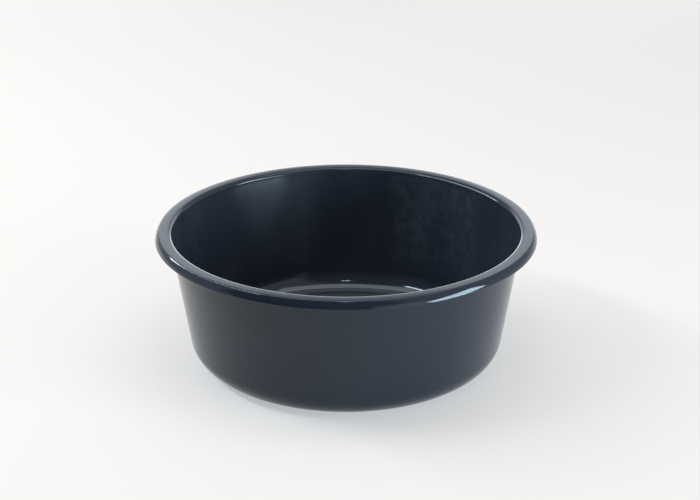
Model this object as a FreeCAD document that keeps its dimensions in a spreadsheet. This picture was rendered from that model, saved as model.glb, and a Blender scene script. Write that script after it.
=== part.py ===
"""Round mixing tub, moulded in one piece: floor, drafted wall and turned-down rim flange.

Millimetres, +Z up. The origin is on the tub's axis, in the plane that its foot ring rests on.
"""

import FreeCAD, Part
import math
import os

import Sketcher

SHEET = "tub_sizes"
# The driving dimensions. Lengths are in millimetres and angles in degrees.
SIZES = {
    "rim_diameter": 450.0,  # the widest point, low on the rim's skirt
    "tub_height": 162.0,
    "wall_top_diameter": 417.4,  # outside of the wall, carried up to the rim's top plane
    "draft_angle": 9.0,  # the wall leans out by this much from upright
    "wall_thickness": 3.0,
    "floor_height": 4.0,  # top of the floor above the resting plane
    "base_corner_radius": 31.5,  # outside, between the base and the wall
    "crest_radius": 5.3,  # inside, where the wall rolls over into the rim's flat top
    "flange_thickness": 3.0,
    "skirt_depth": 9.4,  # from the rim's top down to the skirt's lower edge
    "skirt_radius": 15.4,  # the skirt's outward bulge
    "skirt_thickness": 2.4,
    "skirt_tilt": 10.0,  # how far above level the skirt faces at its lower edge
    "skirt_root_radius": 1.0,  # inside, where the skirt meets the flange
    "lip_radius": 0.6,  # both lower edges of the skirt
    "face_edge_radius": 1.8,  # between the rim's flat top and its skirt
    "foot_ring_diameter": 277.0,  # inside of the ring that the tub stands on
    "foot_recess_depth": 1.0,
    "foot_recess_slope": 1.0,  # how far the recess's side leans inwards over its depth
    "gate_mark_diameter": 9.0,
    "gate_mark_height": 0.6,
    "gate_mark_taper": 0.8,
}
HEIGHT_TOLERANCE = 0.001

# Sizes worked out from the driving ones, as expressions for the sketches and features.
TOP = "tub_sizes.tub_height"
FLOOR = "tub_sizes.floor_height"
UNDERSIDE = "tub_sizes.tub_height - tub_sizes.flange_thickness"
SKIRT_FOOT = "tub_sizes.tub_height - tub_sizes.skirt_depth"
RECESS_TOP = "tub_sizes.foot_recess_depth"
GATE_TIP = "tub_sizes.foot_recess_depth - tub_sizes.gate_mark_height"

WALL_TOP_RADIUS = "tub_sizes.wall_top_diameter / 2"
WALL_FOOT_RADIUS = f"{WALL_TOP_RADIUS} - tub_sizes.tub_height * tan(tub_sizes.draft_angle)"
BOWL_TOP_RADIUS = f"{WALL_TOP_RADIUS} - tub_sizes.wall_thickness / cos(tub_sizes.draft_angle)"
BOWL_FLOOR_RADIUS = (
    f"{BOWL_TOP_RADIUS} - (tub_sizes.tub_height - tub_sizes.floor_height) * tan(tub_sizes.draft_angle)"
)
SKIRT_ARM = "(tub_sizes.skirt_radius - tub_sizes.lip_radius)"
SKIRT_CENTRE_RADIUS = (
    f"tub_sizes.rim_diameter / 2 - tub_sizes.lip_radius - {SKIRT_ARM} * cos(tub_sizes.skirt_tilt)"
)
SKIRT_CENTRE_HEIGHT = f"{SKIRT_FOOT} + tub_sizes.lip_radius - {SKIRT_ARM} * sin(tub_sizes.skirt_tilt)"
SKIRT_INNER_RADIUS = "tub_sizes.skirt_radius - tub_sizes.skirt_thickness"
RECESS_FOOT_RADIUS = "tub_sizes.foot_ring_diameter / 2"
RECESS_TOP_RADIUS = "tub_sizes.foot_ring_diameter / 2 - tub_sizes.foot_recess_slope"
GATE_ROOT_RADIUS = "tub_sizes.gate_mark_diameter / 2"
GATE_TIP_RADIUS = "tub_sizes.gate_mark_diameter / 2 - tub_sizes.gate_mark_taper"

# The inner radii follow the outer ones, so that the wall keeps its thickness round each bend.
FLOOR_CORNER_RADIUS = "tub_sizes.base_corner_radius - tub_sizes.wall_thickness"
CHANNEL_ROOT_RADIUS = "tub_sizes.crest_radius - tub_sizes.wall_thickness"


def add_sizes(document):
    """The spreadsheet of driving dimensions: names in column A, values with aliases in column B."""
    sheet = document.addObject("Spreadsheet::Sheet", SHEET)
    for row, (name, value) in enumerate(SIZES.items(), start=1):
        sheet.set(f"A{row}", name)
        sheet.set(f"B{row}", str(value))
        sheet.setAlias(f"B{row}", name)
    document.recompute()


def value_of(item, expression):
    """The present value of a spreadsheet expression, seen from this object."""
    return float(item.evalExpression(expression))


def half_section(body, name):
    """An empty sketch in the body's XZ plane: x is the radius and y is the height."""
    sketch = body.newObject("Sketcher::SketchObject", name)
    plane = next(item for item in body.Origin.OriginFeatures if item.Role == "XZ_Plane")
    sketch.AttachmentSupport = [(plane, "")]
    sketch.MapMode = "FlatFace"
    return sketch


def dimension(sketch, kind, place, expression, name):
    """One named dimension, tied to the spreadsheet."""
    value = value_of(sketch, expression)
    index = sketch.addConstraint(Sketcher.Constraint(kind, *place, value))
    sketch.renameConstraint(index, name)
    sketch.setExpression(f"Constraints.{name}", expression)


def pin_radius(sketch, line, expression, name):
    """Holds a line's first point at a radius, or on the axis where there is none."""
    if expression is None:
        sketch.addConstraint(Sketcher.Constraint("PointOnObject", line, 1, -2))
    else:
        dimension(sketch, "DistanceX", (-1, 1, line, 1), expression, f"{name}_radius")


def pin_height(sketch, line, expression, name):
    """Holds a line's first point at a height, or in the resting plane where there is none."""
    if expression is None:
        sketch.addConstraint(Sketcher.Constraint("PointOnObject", line, 1, -1))
    else:
        dimension(sketch, "DistanceY", (-1, 1, line, 1), expression, f"{name}_height")


def draw_outline(sketch, corners):
    """A closed outline of straight lines. Each corner is (name, radius or None, height or None)."""
    points = []
    for _, radius, height in corners:
        across = 0.0 if radius is None else value_of(sketch, radius)
        up = 0.0 if height is None else value_of(sketch, height)
        points.append(FreeCAD.Vector(across, up, 0))
    followers = points[1:] + points[:1]
    for start, end in zip(points, followers):
        sketch.addGeometry(Part.LineSegment(start, end), False)
    for line in range(len(points)):
        following = (line + 1) % len(points)
        sketch.addConstraint(Sketcher.Constraint("Coincident", line, 2, following, 1))
    for line, (name, radius, height) in enumerate(corners):
        pin_radius(sketch, line, radius, name)
        pin_height(sketch, line, height, name)


def turn(body, kind, name, sketch):
    """A full turn of the sketch about the tub's axis: a Revolution adds and a Groove cuts."""
    feature = body.newObject(f"PartDesign::{kind}", name)
    feature.Profile = sketch
    feature.ReferenceAxis = (sketch, ["V_Axis"])
    feature.Angle = 360.0
    sketch.Visibility = False
    body.Document.recompute()
    return feature


def rings_at(feature, height):
    """The names of the full circles at this height, from the smallest to the largest."""
    level = 0.0 if height is None else value_of(feature, height)
    found = []
    for number, edge in enumerate(feature.Shape.Edges, start=1):
        if not isinstance(edge.Curve, Part.Circle) or not edge.isClosed():
            continue
        if abs(edge.Curve.Center.z - level) < HEIGHT_TOLERANCE:
            found.append((edge.Curve.Radius, f"Edge{number}"))
    return [name for _, name in sorted(found)]


def rounded(body, name, base, edges, expression):
    """A fillet on these edges, its radius tied to the spreadsheet."""
    fillet = body.newObject("PartDesign::Fillet", name)
    fillet.Base = (base, edges)
    fillet.Radius = value_of(body, expression)
    fillet.setExpression("Radius", expression)
    body.Document.recompute()
    return fillet


def add_outer_form(body):
    """The outside of the tub as a solid, its corners still sharp."""
    sketch = half_section(body, "outer_profile")
    corners = [
        ("axis_foot", None, None),
        ("wall_foot", WALL_FOOT_RADIUS, None),
        ("wall_top", WALL_TOP_RADIUS, TOP),
        ("axis_top", None, TOP),
    ]
    draw_outline(sketch, corners)
    turn(body, "Revolution", "outer_form", sketch)


def skirt_arc(centre, radius, low, high):
    """An arc of the skirt's section between two heights, bulging away from the axis."""
    start = math.asin((low - centre.y) / radius)
    end = math.asin((high - centre.y) / radius)
    circle = Part.Circle(centre, FreeCAD.Vector(0, 0, 1), radius)
    return Part.ArcOfCircle(circle, start, end)


def draw_rim_section(sketch):
    """The flange's flat top, its bulging skirt, the parallel inner faces and the line at the wall."""
    top = value_of(sketch, TOP)
    foot = value_of(sketch, SKIRT_FOOT)
    underside = value_of(sketch, UNDERSIDE)
    root = value_of(sketch, BOWL_TOP_RADIUS)
    centre_radius = value_of(sketch, SKIRT_CENTRE_RADIUS)
    centre = FreeCAD.Vector(centre_radius, value_of(sketch, SKIRT_CENTRE_HEIGHT), 0)
    outside = skirt_arc(centre, value_of(sketch, "tub_sizes.skirt_radius"), foot, top)
    inside = skirt_arc(centre, value_of(sketch, SKIRT_INNER_RADIUS), foot, underside)
    root_top = FreeCAD.Vector(root, top, 0)
    root_foot = FreeCAD.Vector(root, underside, 0)
    section = [
        Part.LineSegment(root_top, outside.EndPoint),
        outside,
        Part.LineSegment(outside.StartPoint, inside.StartPoint),
        inside,
        Part.LineSegment(inside.EndPoint, root_foot),
        Part.LineSegment(root_foot, root_top),
    ]
    sketch.addGeometry(section, False)


def constrain_rim_section(sketch):
    """Joins the six edges of the rim's section and ties their sizes to the spreadsheet."""
    top_line, outside, foot_line, inside, underside_line, root_line = range(6)
    meetings = [
        (top_line, 2, outside, 2),
        (outside, 1, foot_line, 1),
        (foot_line, 2, inside, 1),
        (inside, 2, underside_line, 1),
        (underside_line, 2, root_line, 1),
        (root_line, 2, top_line, 1),
        (outside, 3, inside, 3),
    ]
    for meeting in meetings:
        sketch.addConstraint(Sketcher.Constraint("Coincident", *meeting))
    for line in (top_line, foot_line, underside_line):
        sketch.addConstraint(Sketcher.Constraint("Horizontal", line))
    sketch.addConstraint(Sketcher.Constraint("Vertical", root_line))
    pin_radius(sketch, top_line, BOWL_TOP_RADIUS, "root")
    pin_height(sketch, top_line, TOP, "top")
    pin_height(sketch, foot_line, SKIRT_FOOT, "foot")
    pin_height(sketch, underside_line, UNDERSIDE, "underside")
    dimension(sketch, "DistanceX", (-1, 1, outside, 3), SKIRT_CENTRE_RADIUS, "centre_radius")
    dimension(sketch, "DistanceY", (-1, 1, outside, 3), SKIRT_CENTRE_HEIGHT, "centre_height")
    dimension(sketch, "Radius", (outside,), "tub_sizes.skirt_radius", "outside_radius")
    dimension(sketch, "Radius", (inside,), SKIRT_INNER_RADIUS, "inside_radius")


def add_rim_flange(body):
    """The flat rim and its turned-down skirt."""
    sketch = half_section(body, "rim_profile")
    draw_rim_section(sketch)
    constrain_rim_section(sketch)
    turn(body, "Revolution", "rim_flange", sketch)


def cut_bowl(body):
    """The hollow inside, parallel to the wall's outside and open at the top."""
    sketch = half_section(body, "bowl_profile")
    corners = [
        ("axis_floor", None, FLOOR),
        ("floor", BOWL_FLOOR_RADIUS, FLOOR),
        ("mouth", BOWL_TOP_RADIUS, TOP),
        ("axis_mouth", None, TOP),
    ]
    draw_outline(sketch, corners)
    turn(body, "Groove", "bowl", sketch)


def cut_foot_recess(body):
    """The shallow recess under the base, which leaves a ring to stand on."""
    sketch = half_section(body, "foot_recess_profile")
    corners = [
        ("axis_foot", None, None),
        ("ring_foot", RECESS_FOOT_RADIUS, None),
        ("ring_top", RECESS_TOP_RADIUS, RECESS_TOP),
        ("axis_top", None, RECESS_TOP),
    ]
    draw_outline(sketch, corners)
    turn(body, "Groove", "foot_recess", sketch)


def add_gate_mark(body):
    """The trimmed stub of the moulding gate, inside the recess at the middle of the base."""
    sketch = half_section(body, "gate_mark_profile")
    corners = [
        ("axis_tip", None, GATE_TIP),
        ("tip", GATE_TIP_RADIUS, GATE_TIP),
        ("root", GATE_ROOT_RADIUS, RECESS_TOP),
        ("axis_root", None, RECESS_TOP),
    ]
    draw_outline(sketch, corners)
    turn(body, "Revolution", "gate_mark", sketch)


def round_the_edges(body):
    """The moulded radii. The inner one of each bend comes first, so that the wall is never cut through."""
    step = body.Tip
    step = rounded(body, "floor_corner", step, rings_at(step, FLOOR), FLOOR_CORNER_RADIUS)
    base_rings = rings_at(step, None)
    step = rounded(body, "base_corner", step, base_rings[-1:], "tub_sizes.base_corner_radius")
    step = rounded(body, "crest", step, rings_at(step, TOP)[:1], "tub_sizes.crest_radius")
    step = rounded(body, "channel_root", step, rings_at(step, UNDERSIDE)[:1], CHANNEL_ROOT_RADIUS)
    step = rounded(body, "skirt_root", step, rings_at(step, UNDERSIDE)[-1:], "tub_sizes.skirt_root_radius")
    step = rounded(body, "face_edge", step, rings_at(step, TOP)[-1:], "tub_sizes.face_edge_radius")
    rounded(body, "lip_edges", step, rings_at(step, SKIRT_FOOT), "tub_sizes.lip_radius")


def build_tub(document):
    """The whole tub as one body, each step checked to add or remove material as it should."""
    body = document.addObject("PartDesign::Body", "tub")
    body.Label = "tub"
    body.Placement = FreeCAD.Placement()
    add_outer_form(body)
    steps = [
        (add_rim_flange, 1),
        (cut_bowl, -1),
        (cut_foot_recess, -1),
        (add_gate_mark, 1),
    ]
    for step, direction in steps:
        before = body.Tip.Shape.Volume
        step(body)
        if (body.Tip.Shape.Volume - before) * direction <= 0:
            raise RuntimeError(f"{step.__name__} changed nothing")
    round_the_edges(body)
    return body


def check_document(document, bodies):
    """Stops the build if any object failed or any body is not one valid solid."""
    for item in document.Objects:
        if "Invalid" in item.State or "Error" in item.State:
            raise RuntimeError(f"{item.Name} is in state {item.State}")
    for body in bodies:
        shape = body.Shape
        if shape.isNull() or not shape.isValid() or len(shape.Solids) != 1:
            raise RuntimeError(f"{body.Label} is not one valid solid")


def main():
    document = FreeCAD.newDocument("mixing_tub")
    add_sizes(document)
    bodies = [build_tub(document)]
    document.recompute()
    check_document(document, bodies)
    os.makedirs("parts", exist_ok=True)
    for body in bodies:
        body.Shape.exportStep(f"parts/{body.Label}.step")
        box = body.Shape.optimalBoundingBox()
        print(f"{body.Label}: {box.XLength:.2f} x {box.YLength:.2f} x {box.ZLength:.2f} mm,")
        print(f"    {body.Shape.Volume / 1000:.1f} cm3 of plastic")


main()
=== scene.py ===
"""The mixing tub's looks: a fine turned mesh in place of the CAD solid, its plastic, and a studio.

Metres, in the part's own frame: +Z up, the origin on the tub's axis in the plane that it stands on.
"""

import math

import bpy
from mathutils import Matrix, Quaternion, Vector


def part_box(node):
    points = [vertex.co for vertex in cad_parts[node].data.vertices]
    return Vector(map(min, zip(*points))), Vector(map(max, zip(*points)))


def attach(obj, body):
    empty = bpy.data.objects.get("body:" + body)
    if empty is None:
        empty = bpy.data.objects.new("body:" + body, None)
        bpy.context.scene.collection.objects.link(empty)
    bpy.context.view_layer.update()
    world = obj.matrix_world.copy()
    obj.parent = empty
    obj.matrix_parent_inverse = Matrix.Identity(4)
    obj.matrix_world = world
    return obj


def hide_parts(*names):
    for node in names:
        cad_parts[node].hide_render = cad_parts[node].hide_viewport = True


MM = 0.001

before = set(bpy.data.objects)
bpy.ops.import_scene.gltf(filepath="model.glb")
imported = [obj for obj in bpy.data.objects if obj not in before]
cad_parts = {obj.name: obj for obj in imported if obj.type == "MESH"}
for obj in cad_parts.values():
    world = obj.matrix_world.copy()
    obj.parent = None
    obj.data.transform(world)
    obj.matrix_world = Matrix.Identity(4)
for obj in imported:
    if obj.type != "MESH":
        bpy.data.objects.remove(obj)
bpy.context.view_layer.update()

# The tub's main sizes come from the CAD node's box.
tub_low, tub_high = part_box("tub")
RIM_RADIUS = round((tub_high.y - tub_low.y) / 2, 4)
HEIGHT = round(tub_high.z, 4)

# Its section, as the CAD draws it. Lengths are in metres and angles in degrees.
DRAFT = 9.0
WALL_TOP_RADIUS = 208.7 * MM
WALL = 3.0 * MM
FLOOR = 4.0 * MM
BASE_CORNER = 31.5 * MM
CREST = 5.3 * MM
FLANGE = 3.0 * MM
SKIRT_DEPTH = 9.4 * MM
SKIRT_RADIUS = 15.4 * MM
SKIRT_THICKNESS = 2.4 * MM
SKIRT_TILT = 10.0
SKIRT_ROOT = 1.0 * MM
LIP = 0.6 * MM
FACE_EDGE = 1.8 * MM
FOOT_RING = 138.5 * MM
RECESS_DEPTH = 1.0 * MM
RECESS_SLOPE = 1.0 * MM
RECESS_EDGE = 0.3 * MM
GATE_RADIUS = 4.5 * MM
GATE_HEIGHT = 0.6 * MM
GATE_TAPER = 0.8 * MM
GATE_EDGE = 0.15 * MM

# The rim's top is flat in the CAD. Here it is crowned a little, and nowhere higher than the CAD's.
FACE_TILT = 4.0
FACE_DROP = 0.15 * MM
FACE_MIDDLE = 215.5 * MM

# How finely the section is turned.
SEGMENTS = 240
BEND_STEP = 4.5
LONGEST_SPAN = 8.0 * MM
GATE_FAN = 2.0 * MM
FLOOR_FAN = 6.0 * MM

# The camera: an 85 mm lens on a 36 mm frame, looking down at the tub.
LENS = 85.0
SENSOR = 36.0
CAMERA_DISTANCE = 1.8205
CAMERA_HEIGHT = 0.872
CAMERA_PITCH = 22.16
CAMERA_YAW = 0.144

# Linear colours.
TUB_DARK = (0.0126, 0.0176, 0.0280, 1)
TUB_PALE = (0.0152, 0.0208, 0.0330, 1)
# The paler haze colour, also used as painted light: a painted reflection of the left lamp in the
# band, and a painted lift of the bowl's shade.
TUB_HAZE_AND_PAINTED_LIGHT = (0.047, 0.056, 0.072, 1)
SHEEN_TINT = (0.82, 0.94, 1.0, 1)
FLOOR_COLOUR = (0.42, 0.37, 0.32)
FLOOR_GLOW = (0.43, 0.455, 0.48)
SKY = (0.86, 0.90, 0.95)
ROOM = (0.56, 0.56, 0.56)
ROOM_SHADE = (0.02, 0.02, 0.02)
HORIZON = (0.61, 0.62, 0.62)

# The plastic's gloss. Each roughness but the first is what that area or pattern adds.
TUB_IOR = 1.5
TUB_SPECULAR = 0.43
PLAIN_ROUGHNESS = 0.05
RING_ROUGHNESS = 0.03
GRAIN_ROUGHNESS = 0.03
WALL_ROUGHNESS = 0.20
RUBBED_ROUGHNESS = 0.14
OUTSIDE_ROUGHNESS = 0.08
SMEAR = 0.98
SMEAR_TURN = 0.25
BUMP_STRENGTH = 0.06
BUMP_DISTANCE = 0.1 * MM
RING_RELIEF = 0.5

# Where the plastic's areas fade in or out: heights on the bowl's wall, and radii under the rim.
WALL_FOOT = (30 * MM, 60 * MM)
WALL_HEAD = (154 * MM, 158 * MM)
UNDER_RIM = (206 * MM, 210 * MM)

# The scales of its patterns, per metre. Clouds and patches are stretched upright. The lines
# dragged round the bowl change slowly along themselves and fast across.
CLOUD_SCALE = 14.0
PATCH_SCALE = 34.0
MOTTLE_SCALE = 70.0
BROAD_SCALE = 9.0
GRAIN_SCALE = 900.0
UPRIGHT_STRETCH = 0.45
LINE_ALONG = 9.0
LINE_ACROSS = 420.0

# The rubbing haze. It is thickest in one band, where its paler colour is also a painted reflection
# of the left lamp:
# its bearing from +X towards +Y, and how far to each side it is full and gone, in degrees. Then how
# much haze and painted reflection the band gives and how much haze the clouds give, the least and
# most that the patches and the blotches let through, how pale the haze and painted reflection make
# it, and the least and most painted light that lifts the shade of the whole bowl.
HAZE_AND_REFLECTION_BAND = 52.0
BAND_FULL = 8.0
BAND_GONE = 26.0
BAND_HAZE_AND_REFLECTION = 0.8
CLOUD_HAZE = 0.45
PATCH_LEVELS = (0.45, 1.0)
BLOTCH_LEVELS = (0.35, 1.3)
HAZE_AND_REFLECTION_PALENESS = 0.75
# Painted light: the least and most that the bowl's inside is painted paler to lift its shade.
BOWL_PAINTED_LIFT = (0.34, 0.58)

# The floor.
FLOOR_ROUGHNESS = 0.8
FLOOR_HALF = 12.0

# The back light is parted: metres from its middle line to where it starts and stops brightening,
# and its level there.
PARTING = (0.06, 0.44)
PARTING_LEVEL = 0.12

# The room. The backdrop is behind the tub, and the skyline is a bright patch low down on it:
# their levels, the skyline's elevations in degrees and its width as x over y, and where the
# backdrop fades in round the sides and out above, as the direction's y and z.
BACKDROP = 0.6
SKYLINE = 3.6
SKYLINE_RISE = (2.0, 22.0)
SKYLINE_WIDTH = (0.12, 0.30)
BACKDROP_SIDE = (0.15, 0.50)
BACKDROP_TOP = (0.47, 0.60)

# The dark patch behind the camera, and the angles from it where the dark is full and gone.
DARK_SIDE = (-0.34, -0.84, 0.42)
DARK_FULL = 42.0
DARK_GONE = 56.0


def direction(angle):
    """The unit vector at this angle, in degrees, in the section's plane or seen from above."""
    return Vector((math.cos(math.radians(angle)), math.sin(math.radians(angle))))


def bend(centre, radius, first, last):
    """Points and normals round an arc. The radius is negative where the surface is hollow."""
    steps = max(2, round(abs(last - first) / BEND_STEP))
    angles = [first + (last - first) * step / steps for step in range(steps + 1)]
    return [(centre + radius * direction(angle), direction(angle)) for angle in angles]


def corner(point, radius, first, last):
    """The arc that rounds a corner between two straight runs whose normals have these angles."""
    before, after = direction(first), direction(last)
    signed = radius if last > first else -radius
    centre = point - signed * (before + after) / (1 + before.dot(after))
    return bend(centre, signed, first, last)


def wall_radius(height):
    """The outside of the wall, before its bends."""
    return WALL_TOP_RADIUS - (HEIGHT - height) * math.tan(math.radians(DRAFT))


def bowl_radius(height):
    """The inside of the wall, before its bends."""
    return wall_radius(height) - WALL / math.cos(math.radians(DRAFT))


def base_section():
    """The underside: the gate mark, the recess, the foot ring and the large base corner."""
    recess_top = FOOT_RING - RECESS_SLOPE
    gate_tip = RECESS_DEPTH - GATE_HEIGHT
    gate_side = math.degrees(math.atan2(-GATE_TAPER, GATE_HEIGHT))
    recess_side = math.degrees(math.atan2(-RECESS_SLOPE, -RECESS_DEPTH))
    return [
        *corner(Vector((GATE_RADIUS - GATE_TAPER, gate_tip)), GATE_EDGE, -90, gate_side),
        *corner(Vector((GATE_RADIUS, RECESS_DEPTH)), GATE_EDGE, gate_side, -90),
        *corner(Vector((recess_top, RECESS_DEPTH)), RECESS_EDGE, -90, recess_side),
        *corner(Vector((FOOT_RING, 0)), RECESS_EDGE, recess_side, -90),
        *corner(Vector((wall_radius(0), 0)), BASE_CORNER, -90, -DRAFT),
    ]


def rim_section():
    """From the wall's top, under the flange, round the turned-down skirt and on to the flat top."""
    underside = HEIGHT - FLANGE
    foot = HEIGHT - SKIRT_DEPTH
    lip_outer = Vector((RIM_RADIUS - LIP, foot + LIP))
    centre = lip_outer - (SKIRT_RADIUS - LIP) * direction(SKIRT_TILT)
    inner = SKIRT_RADIUS - SKIRT_THICKNESS

    def beside(reach, height):
        """The point this far from the skirt's centre at this height, and its angle there."""
        angle = math.degrees(math.asin((height - centre.y) / reach))
        return centre + reach * direction(angle), angle

    root_centre, root_angle = beside(inner - SKIRT_ROOT, underside - SKIRT_ROOT)
    lip_inner, lip_angle = beside(inner + LIP, foot + LIP)
    face_centre, face_angle = beside(SKIRT_RADIUS - FACE_EDGE, HEIGHT - FACE_DROP - FACE_EDGE)
    return [
        *corner(Vector((wall_radius(underside), underside)), CREST - WALL, -DRAFT, -90),
        *bend(root_centre, -SKIRT_ROOT, -90, root_angle - 180),
        *bend(centre, -inner, root_angle - 180, lip_angle - 180)[1:-1],
        *bend(lip_inner, LIP, lip_angle - 180, -90),
        *bend(lip_outer, LIP, -90, SKIRT_TILT),
        *bend(centre, SKIRT_RADIUS, SKIRT_TILT, face_angle)[1:-1],
        *bend(face_centre, FACE_EDGE, face_angle, 90 - FACE_TILT),
    ]


def bowl_section():
    """The slightly crowned top, the crest and the inside, down to the floor."""
    half_turn = math.radians((90 - DRAFT - FACE_TILT) / 2)
    rise = CREST * math.tan(half_turn) * math.sin(math.radians(FACE_TILT))
    crest = HEIGHT - FACE_DROP - rise
    return [
        (Vector((FACE_MIDDLE, HEIGHT)), direction(90)),
        *corner(Vector((bowl_radius(crest), crest)), CREST, 90 + FACE_TILT, 180 - DRAFT),
        *corner(Vector((bowl_radius(FLOOR), FLOOR)), BASE_CORNER - WALL, 180 - DRAFT, 90),
    ]


def spaced(section):
    """The same section, with its long straight runs divided."""
    result = [section[0]]
    for (start, start_normal), (end, end_normal) in zip(section, section[1:]):
        spans = max(1, math.ceil((end - start).length / LONGEST_SPAN))
        for span in range(1, spans + 1):
            share = span / spans
            normal = start_normal.lerp(end_normal, share).normalized()
            result.append((start.lerp(end, share), normal))
    return result


def tub_section():
    """The whole closed section, from the middle of the underside to the middle of the floor."""
    down, up = direction(-90), direction(90)
    first = (Vector((GATE_FAN, RECESS_DEPTH - GATE_HEIGHT)), down)
    last = (Vector((FLOOR_FAN, FLOOR)), up)
    return spaced([first, *base_section(), *rim_section(), *bowl_section(), last])


def turned(name, section):
    """A mesh turned about the Z axis, with the section's normals and a fan at each end."""
    points, normals, faces = [], [], []
    for index in range(SEGMENTS):
        angle = 2 * math.pi * index / SEGMENTS
        across, along = math.cos(angle), math.sin(angle)
        for place, normal in section:
            points.append((place.x * across, place.x * along, place.y))
            normals.append((normal.x * across, normal.x * along, normal.y))
    rings = len(section)
    for index in range(SEGMENTS):
        here = index * rings
        there = (index + 1) % SEGMENTS * rings
        for ring in range(rings - 1):
            faces.append((here + ring, there + ring, there + ring + 1, here + ring + 1))
    for ring, fan_up in ((0, False), (rings - 1, True)):
        centre = len(points)
        points.append((0.0, 0.0, section[ring][0].y))
        normals.append((0.0, 0.0, section[ring][1].y))
        for index in range(SEGMENTS):
            here = index * rings + ring
            there = (index + 1) % SEGMENTS * rings + ring
            faces.append((here, there, centre) if fan_up else (there, here, centre))
    mesh = bpy.data.meshes.new(name)
    mesh.from_pydata(points, [], faces)
    mesh.validate()
    mesh.shade_smooth()
    mesh.normals_split_custom_set_from_vertices(normals)
    piece = bpy.data.objects.new(name, mesh)
    bpy.context.scene.collection.objects.link(piece)
    return piece


def node(tree, kind, **settings):
    """A new node with these properties set."""
    made = tree.nodes.new(kind)
    for name, value in settings.items():
        setattr(made, name, value)
    return made


def feed(tree, target, source):
    """Links a socket to an input, or sets the input to a plain value."""
    if isinstance(source, bpy.types.NodeSocket):
        tree.links.new(source, target)
    else:
        target.default_value = source


def calculate(tree, operation, *values, clamp=False):
    made = node(tree, "ShaderNodeMath", operation=operation, use_clamp=clamp)
    for target, value in zip(made.inputs, values):
        feed(tree, target, value)
    return made.outputs[0]


def ramp(tree, value, low, high, bottom=0.0, top=1.0):
    """A smooth step from one value to another."""
    made = node(tree, "ShaderNodeMapRange", interpolation_type="SMOOTHSTEP")
    for target, source in zip(made.inputs, (value, low, high, bottom, top)):
        feed(tree, target, source)
    return made.outputs[0]


def noise(tree, place, scale, detail=2.0, roughness=0.5, distortion=0.0):
    made = node(tree, "ShaderNodeTexNoise")
    feed(tree, made.inputs["Vector"], place)
    settings = {"Scale": scale, "Detail": detail, "Roughness": roughness, "Distortion": distortion}
    for name, value in settings.items():
        made.inputs[name].default_value = value
    return made.outputs[0]


def blend(tree, amount, first, second):
    made = node(tree, "ShaderNodeMix", data_type="RGBA")
    feed(tree, made.inputs["Factor"], amount)
    feed(tree, made.inputs["A"], first)
    feed(tree, made.inputs["B"], second)
    return made.outputs["Result"]


def combine(tree, x, y, z):
    made = node(tree, "ShaderNodeCombineXYZ")
    for target, value in zip(made.inputs, (x, y, z)):
        feed(tree, target, value)
    return made.outputs[0]


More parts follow.
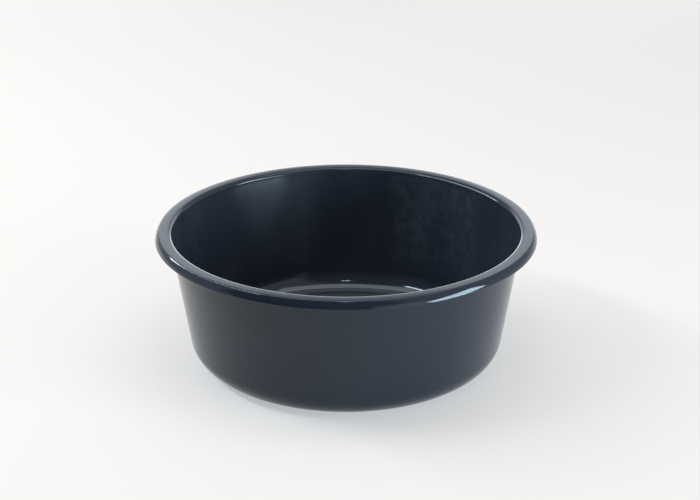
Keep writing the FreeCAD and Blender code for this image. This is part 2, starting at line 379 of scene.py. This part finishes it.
def plastic():
    """Dark blue-grey moulded plastic: glossy outside, duller and hazed by rubbing in the bowl. The
    bowl's colour also holds painted light: a painted lift of its shade and a painted reflection of
    the left lamp.
    """
    material = bpy.data.materials.new("tub_plastic")
    material.use_nodes = True
    tree = material.node_tree
    shader = tree.nodes["Principled BSDF"]
    place = node(tree, "ShaderNodeTexCoord").outputs["Object"]
    apart = node(tree, "ShaderNodeSeparateXYZ")
    feed(tree, apart.inputs[0], place)
    x, y, z = apart.outputs
    squares = calculate(tree, "MULTIPLY", x, x), calculate(tree, "MULTIPLY", y, y)
    radius = calculate(tree, "SQRT", calculate(tree, "ADD", *squares))

    # The bowl is everything inside the middle of the wall.
    middle = (wall_radius(0) + bowl_radius(0)) / 2
    slope = math.tan(math.radians(DRAFT))
    inset = calculate(tree, "SUBTRACT", calculate(tree, "MULTIPLY_ADD", z, slope, middle), radius)
    inside = ramp(tree, inset, 0.0, WALL)

    # Soft upright clouds of rubbing haze, thickest in one band whose paler colour is also a painted
    # reflection of the left lamp, and lines dragged round the bowl.
    # A noise is mostly between 0.3 and 0.7, so the ramps that use one start and end in there.
    upright = combine(tree, x, y, calculate(tree, "MULTIPLY", z, UPRIGHT_STRETCH))
    clouds = noise(tree, upright, CLOUD_SCALE, detail=3.0, roughness=0.5)
    patches = noise(tree, upright, PATCH_SCALE, detail=3.0, roughness=0.5, distortion=0.3)
    toward = direction(HAZE_AND_REFLECTION_BAND)
    along = calculate(tree, "MULTIPLY_ADD", y, toward.y, calculate(tree, "MULTIPLY", x, toward.x))
    bearing = calculate(tree, "DIVIDE", along, radius)
    gone, full = (math.cos(math.radians(angle)) for angle in (BAND_GONE, BAND_FULL))
    band = ramp(tree, bearing, gone, full)
    scaled = ((x, LINE_ALONG), (y, LINE_ALONG), (radius, LINE_ACROSS))
    drawn = combine(tree, *(calculate(tree, "MULTIPLY", *pair) for pair in scaled))
    rings = noise(tree, drawn, 1.0, detail=3.0)
    cloudy = ramp(tree, clouds, 0.40, 0.66, 0.0, CLOUD_HAZE)
    haze_and_reflection = calculate(tree, "MULTIPLY_ADD", band, BAND_HAZE_AND_REFLECTION, cloudy, clamp=True)
    haze_and_reflection = calculate(tree, "MULTIPLY", haze_and_reflection, ramp(tree, patches, 0.34, 0.64, *PATCH_LEVELS))
    # The bowl's wall is the duller side. The mould's turning marks smear its reflections upright.
    wall = calculate(tree, "MULTIPLY", inside, ramp(tree, z, *WALL_FOOT))
    wall = calculate(tree, "MULTIPLY", wall, ramp(tree, z, *WALL_HEAD, 1.0, 0.0))
    rubbed_and_reflection = calculate(tree, "MULTIPLY", haze_and_reflection, wall)
    past_wall = ramp(tree, inset, -WALL / 2, 0.0, 1.0, 0.0)
    outside = calculate(tree, "MULTIPLY", past_wall, ramp(tree, radius, *UNDER_RIM, 1.0, 0.0))

    fine = noise(tree, place, GRAIN_SCALE, detail=2.0)
    broad = noise(tree, place, BROAD_SCALE, detail=2.0)
    base = blend(tree, broad, TUB_DARK, TUB_PALE)
    mottle = noise(tree, place, MOTTLE_SCALE, detail=4.0, roughness=0.6, distortion=0.4)
    blotches = ramp(tree, mottle, 0.38, 0.62, *BLOTCH_LEVELS)
    # The haze's paler colour. In the band it is partly a painted reflection of the left lamp.
    haze_and_painted_light = calculate(tree, "MULTIPLY", calculate(tree, "MULTIPLY", rubbed_and_reflection, blotches), HAZE_AND_REFLECTION_PALENESS)
    # Painted light: the whole inside of the bowl is painted paler, unevenly with the clouds, to
    # lift its shade.
    painted_bowl_lift = calculate(tree, "MULTIPLY", inside, ramp(tree, clouds, 0.34, 0.66, *BOWL_PAINTED_LIFT))
    haze_and_painted_light = calculate(tree, "ADD", haze_and_painted_light, painted_bowl_lift, clamp=True)
    # The base colour with the haze and the painted light blended in.
    colour_with_painted_light = blend(tree, haze_and_painted_light, base, TUB_HAZE_AND_PAINTED_LIGHT)
    feed(tree, shader.inputs["Base Color"], colour_with_painted_light)

    gloss = calculate(tree, "MULTIPLY_ADD", rings, RING_ROUGHNESS, PLAIN_ROUGHNESS)
    gloss = calculate(tree, "MULTIPLY_ADD", fine, GRAIN_ROUGHNESS, gloss)
    gloss = calculate(tree, "MULTIPLY_ADD", wall, WALL_ROUGHNESS, gloss)
    gloss = calculate(tree, "MULTIPLY_ADD", rubbed_and_reflection, RUBBED_ROUGHNESS, gloss)
    gloss = calculate(tree, "MULTIPLY_ADD", outside, OUTSIDE_ROUGHNESS, gloss)
    feed(tree, shader.inputs["Roughness"], gloss)
    feed(tree, shader.inputs["Anisotropic"], calculate(tree, "MULTIPLY", wall, SMEAR))
    tangent = node(tree, "ShaderNodeTangent", direction_type="RADIAL", axis="Z")
    feed(tree, shader.inputs["Tangent"], tangent.outputs[0])
    shader.inputs["Anisotropic Rotation"].default_value = SMEAR_TURN

    height = calculate(tree, "MULTIPLY_ADD", rings, RING_RELIEF, fine)
    bump = node(tree, "ShaderNodeBump")
    bump.inputs["Strength"].default_value = BUMP_STRENGTH
    bump.inputs["Distance"].default_value = BUMP_DISTANCE
    feed(tree, bump.inputs["Height"], height)
    feed(tree, shader.inputs["Normal"], bump.outputs[0])
    shader.inputs["IOR"].default_value = TUB_IOR
    shader.inputs["Specular IOR Level"].default_value = TUB_SPECULAR
    shader.inputs["Specular Tint"].default_value = SHEEN_TINT
    return material


def floor_material():
    """A pale table that glows a little, so that shadows on it stay light."""
    material = bpy.data.materials.new("studio_floor")
    material.use_nodes = True
    shader = material.node_tree.nodes["Principled BSDF"]
    shader.inputs["Base Color"].default_value = (*FLOOR_COLOUR, 1)
    shader.inputs["Roughness"].default_value = FLOOR_ROUGHNESS
    shader.inputs["Specular IOR Level"].default_value = 0.0
    shader.inputs["Emission Color"].default_value = (*FLOOR_GLOW, 1)
    shader.inputs["Emission Strength"].default_value = 1.0
    return material


def add_floor():
    mesh = bpy.data.meshes.new("studio_floor")
    half = FLOOR_HALF
    corners = [(-half, -half, 0), (half, -half, 0), (half, half, 0), (-half, half, 0)]
    mesh.from_pydata(corners, [], [(0, 1, 2, 3)])
    mesh.materials.append(floor_material())
    floor = bpy.data.objects.new("studio_floor", mesh)
    bpy.context.scene.collection.objects.link(floor)


def add_softbox(name, place, target, size, radiance, colour=(1, 1, 1), roll=0.0):
    """An even rectangular light that faces the target. It isn't seen directly."""
    light = bpy.data.lights.new(name, "AREA")
    light.shape = "RECTANGLE"
    light.size, light.size_y = size
    light.energy = radiance * math.pi * size[0] * size[1]
    light.color = colour
    lamp = bpy.data.objects.new(name, light)
    lamp.location = place
    facing = (Vector(target) - Vector(place)).to_track_quat("-Z", "Y")
    lamp.rotation_euler = (facing @ Quaternion((0, 0, 1), math.radians(roll))).to_euler()
    lamp.visible_camera = False
    bpy.context.scene.collection.objects.link(lamp)
    return light


def part_in_the_middle(light, width):
    """Fades the light out towards its upright middle line."""
    light.use_nodes = True
    tree = light.node_tree
    apart = node(tree, "ShaderNodeSeparateXYZ")
    feed(tree, apart.inputs[0], node(tree, "ShaderNodeNewGeometry").outputs["Parametric"])
    aside = calculate(tree, "ABSOLUTE", calculate(tree, "SUBTRACT", apart.outputs[0], 0.5))
    start, stop = (reach / width for reach in PARTING)
    strength = ramp(tree, aside, start, stop, PARTING_LEVEL, 1.0)
    feed(tree, tree.nodes["Emission"].inputs["Strength"], strength)


def add_lights():
    around = (0, 0, 0.1)
    cool, grey, blue = (0.85, 1.0, 1.05), (0.90, 1.0, 1.1), (0.86, 1.0, 1.12)
    violet = (0.86, 0.98, 1.12)
    add_softbox("overhead", (0, -0.06, 3.0), (0, -0.06, 0), (3.9, 1.24), 2.3)
    add_softbox("left", (-1.75, 0.36, 1.50), around, (2.50, 0.26), 19.0, violet, roll=40)
    add_softbox("right", (1.98, -1.02, 0.34), around, (1.40, 0.78), 14.0, blue, roll=28)
    add_softbox("grey_panel", (1.00, -1.85, 0.42), around, (1.05, 0.84), 0.75, grey)
    back_width = 2.4
    back = add_softbox("back", (0, 2.1, 0.68), (0, 0, 0.68), (back_width, 1.36), 1.15, SKY)
    part_in_the_middle(back, back_width)
    add_softbox("spot", (0, -1.0, 1.78), around, (0.16, 0.10), 18.0, cool)


def add_world():
    """A pale room, brighter behind the tub and at the skyline there, and dark behind the camera.

    Seen directly, it has the colour of the floor's far edge.
    """
    world = bpy.data.worlds.new("studio")
    world.use_nodes = True
    tree = world.node_tree
    toward = node(tree, "ShaderNodeTexCoord").outputs["Generated"]
    apart = node(tree, "ShaderNodeSeparateXYZ")
    feed(tree, apart.inputs[0], toward)
    x, y, z = apart.outputs
    sizes = calculate(tree, "ABSOLUTE", x), calculate(tree, "ABSOLUTE", y)
    across = calculate(tree, "DIVIDE", *sizes)
    foot, head = (math.sin(math.radians(angle)) for angle in SKYLINE_RISE)
    low = ramp(tree, z, foot, head, 1.0, 0.0)
    low = calculate(tree, "MULTIPLY", low, ramp(tree, across, *SKYLINE_WIDTH, 1.0, 0.0))
    level = calculate(tree, "MULTIPLY_ADD", low, SKYLINE, BACKDROP)
    reach = ramp(tree, y, *BACKDROP_SIDE), ramp(tree, z, *BACKDROP_TOP, 1.0, 0.0)
    behind = calculate(tree, "MULTIPLY", *reach)
    lit = node(tree, "ShaderNodeVectorMath", operation="SCALE")
    feed(tree, lit.inputs[0], SKY)
    feed(tree, lit.inputs["Scale"], level)
    facing = node(tree, "ShaderNodeVectorMath", operation="DOT_PRODUCT")
    feed(tree, facing.inputs[0], toward)
    feed(tree, facing.inputs[1], Vector(DARK_SIDE).normalized())
    gone, full = (math.cos(math.radians(angle)) for angle in (DARK_GONE, DARK_FULL))
    dark = ramp(tree, facing.outputs["Value"], gone, full)
    room = tree.nodes["Background"]
    plain = blend(tree, dark, (*ROOM, 1), (*ROOM_SHADE, 1))
    feed(tree, room.inputs["Color"], blend(tree, behind, plain, lit.outputs[0]))
    seen = node(tree, "ShaderNodeBackground")
    seen.inputs["Color"].default_value = (*HORIZON, 1)
    either = node(tree, "ShaderNodeMixShader")
    feed(tree, either.inputs[0], node(tree, "ShaderNodeLightPath").outputs["Is Camera Ray"])
    feed(tree, either.inputs[1], room.outputs[0])
    feed(tree, either.inputs[2], seen.outputs[0])
    feed(tree, tree.nodes["World Output"].inputs["Surface"], either.outputs[0])
    bpy.context.scene.world = world


def add_camera():
    """Looks along +Y, down at the tub."""
    data = bpy.data.cameras.new("camera")
    data.lens = LENS
    data.sensor_width = SENSOR
    camera = bpy.data.objects.new("camera", data)
    camera.location = (0, -CAMERA_DISTANCE, CAMERA_HEIGHT)
    camera.rotation_euler = (math.radians(90 - CAMERA_PITCH), 0, math.radians(-CAMERA_YAW))
    bpy.context.scene.collection.objects.link(camera)
    bpy.context.scene.camera = camera


bpy.context.scene.view_settings.view_transform = "Standard"
tub = turned("mixing_tub", tub_section())
tub.data.materials.append(plastic())
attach(tub, "root")
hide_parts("tub")
add_floor()
add_world()
add_lights()
add_camera()
